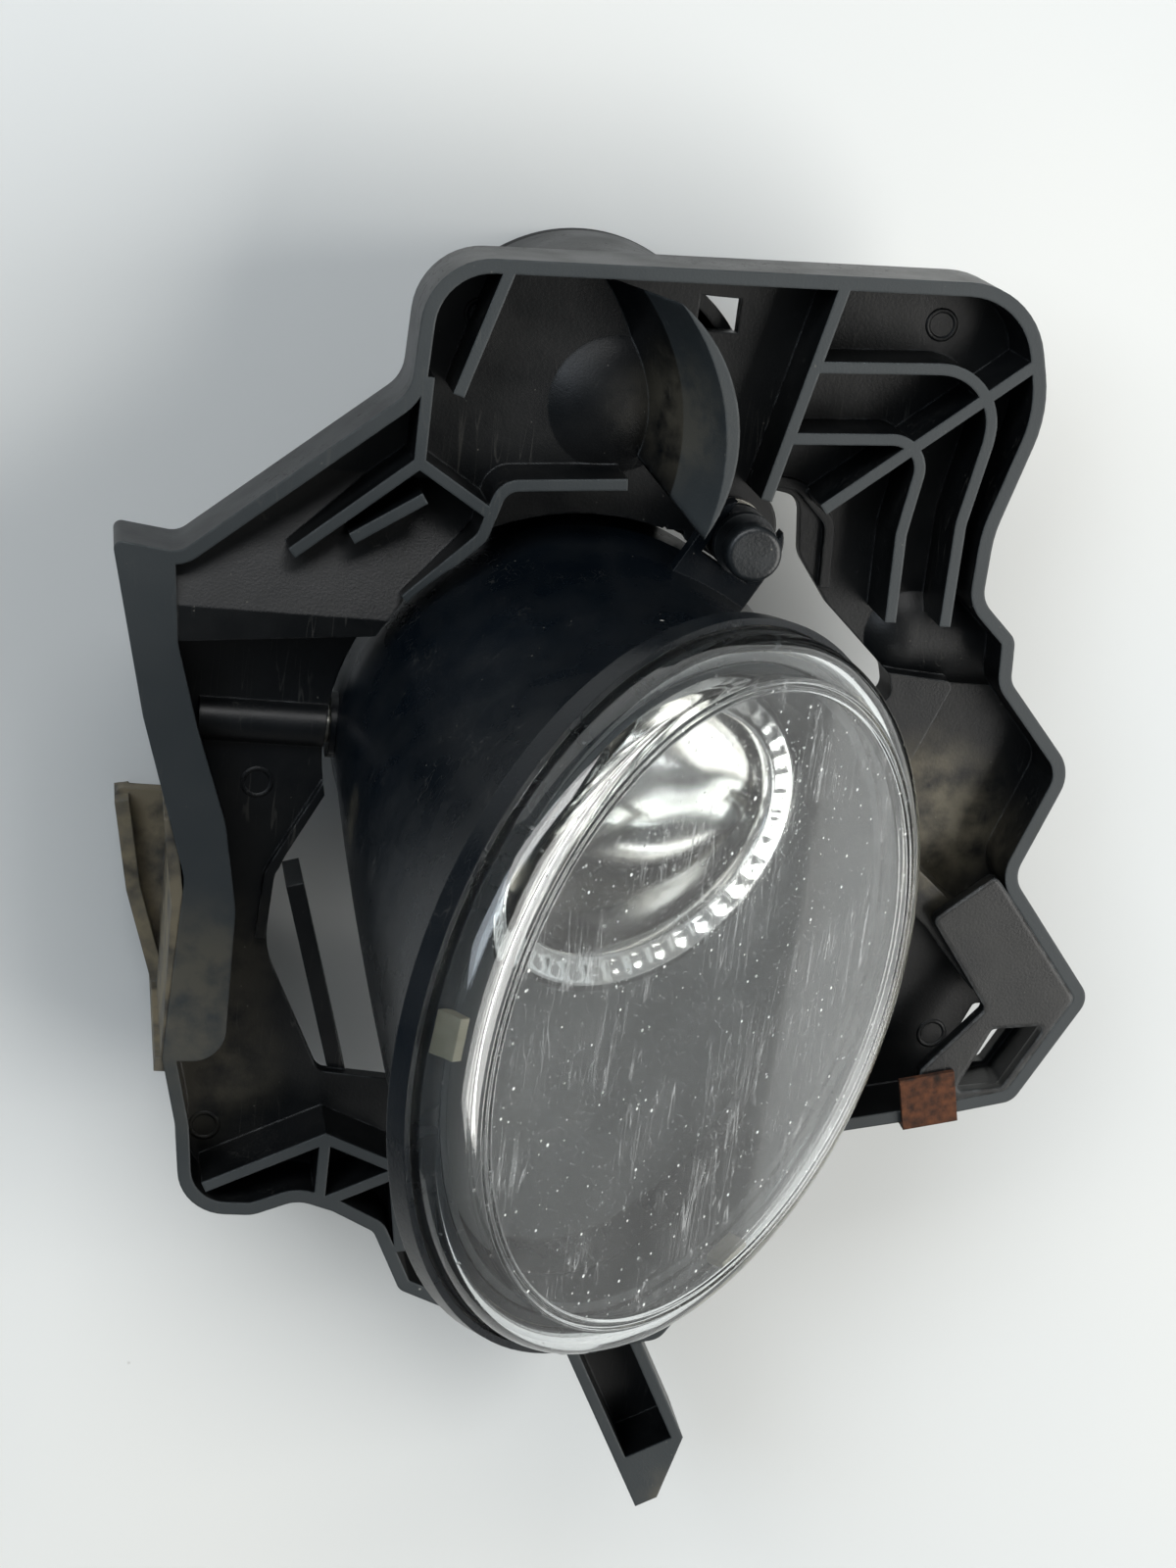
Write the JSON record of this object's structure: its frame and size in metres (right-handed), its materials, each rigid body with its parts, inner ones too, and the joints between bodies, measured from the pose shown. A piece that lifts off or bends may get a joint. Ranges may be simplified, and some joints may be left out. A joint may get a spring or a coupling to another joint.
{
  "type": "fog light",
  "caption": "Round clear-lens fog light tilted in a black moulded carrier bracket, with a height adjuster and a bayonet bulb.",
  "frame": {"origin": "centre of the upper fixing bore, on the rear plane that the light lies on", "axes": "+Z out of the front of the bracket, along the fixing bore; +X across the bracket, the way the lens faces; +Y to the bracket's upper edge"},
  "size_m": [0.1396, 0.1827, 0.0993],
  "materials": {
    "black_carrier": "moulded polypropylene, satin, dusty and scuffed",
    "black_housing": "smooth moulded plastic, satin",
    "clear_lens": "clear, dusty, fine chips",
    "seal_grey": "sealing bead",
    "pale_locator": "aged natural nylon",
    "dark_bezel": "fine grained dark grey",
    "mirror_bowl": "metallised",
    "black_rubber": "soft, matte",
    "natural_nylon": "natural nylon",
    "dark_nylon": "black nylon",
    "zinc_steel": "zinc plated",
    "rusty_steel": "spring steel, rusted",
    "brass_insert": "knurled, turned",
    "bulb_plastic": "dark grey heat resistant plastic",
    "bulb_glass": "clear halogen glass",
    "bulb_metal": "nickel plated",
    "tungsten": "drawn wire"
  },
  "bodies": {
    "bracket": {"carrier_bracket": "black_carrier", "fixing_boss": "black_carrier", "window_tab": "black_carrier", "tab_leg": "black_carrier", "left_guide": "black_carrier", "lower_finger": "black_carrier", "fixing_insert": "brass_insert", "rear_pad": "black_rubber", "retaining_clip": "rusty_steel", "pivot_bushes": "natural_nylon"},
    "lamp": {"lamp_housing": "black_housing", "pivot_pins": "zinc_steel", "fog_lens": "clear_lens", "lens_seal": "seal_grey", "lens_locators": "pale_locator", "inner_bezel": "dark_bezel", "reflector": "mirror_bowl", "vent_cap": "black_rubber"},
    "adjuster_screw": {"adjuster_screw": "zinc_steel", "adjuster_wheel": "dark_nylon", "adjuster_clip": "zinc_steel", "adjuster_cap": "dark_nylon"},
    "adjuster_nut": {"adjuster_nut": "dark_nylon"},
    "bulb": {"bulb_base": "bulb_plastic", "bulb_terminals": "bulb_metal", "bulb_seal": "seal_grey", "bulb_collar": "bulb_metal", "bulb_glass": "bulb_glass", "filament": "tungsten", "filament_posts": "bulb_metal"}
  },
  "joints": [
    {"name": "lamp_tilt", "type": "hinge", "parent": "bracket", "child": "lamp", "pos_m": [0.0015, -0.046, 0.0195], "axis": [1, 0, 0], "range_deg": [-3, 3]},
    {"name": "adjuster_turn", "type": "hinge", "parent": "bracket", "child": "adjuster_screw", "pos_m": [0.0195, -0.013, 0.02], "axis": [0, 0, 1], "range_deg": [-207, 207]},
    {"name": "nut_travel", "type": "slide", "parent": "bracket", "child": "adjuster_nut", "axis": [0, 0, 1], "range_m": [-0.0018, 0.0018]},
    {"name": "bulb_twist", "type": "hinge", "parent": "lamp", "child": "bulb", "pos_m": [0.0015, -0.046, 0.016], "axis": [0, 0, 1], "range_deg": [0, 45]}
  ],
  "couplings": [
    {"joint": "lamp_tilt", "follows": "adjuster_turn", "ratio": 0.014469},
    {"joint": "nut_travel", "follows": "adjuster_turn", "m_per_rad": 0.00047746}
  ]
}
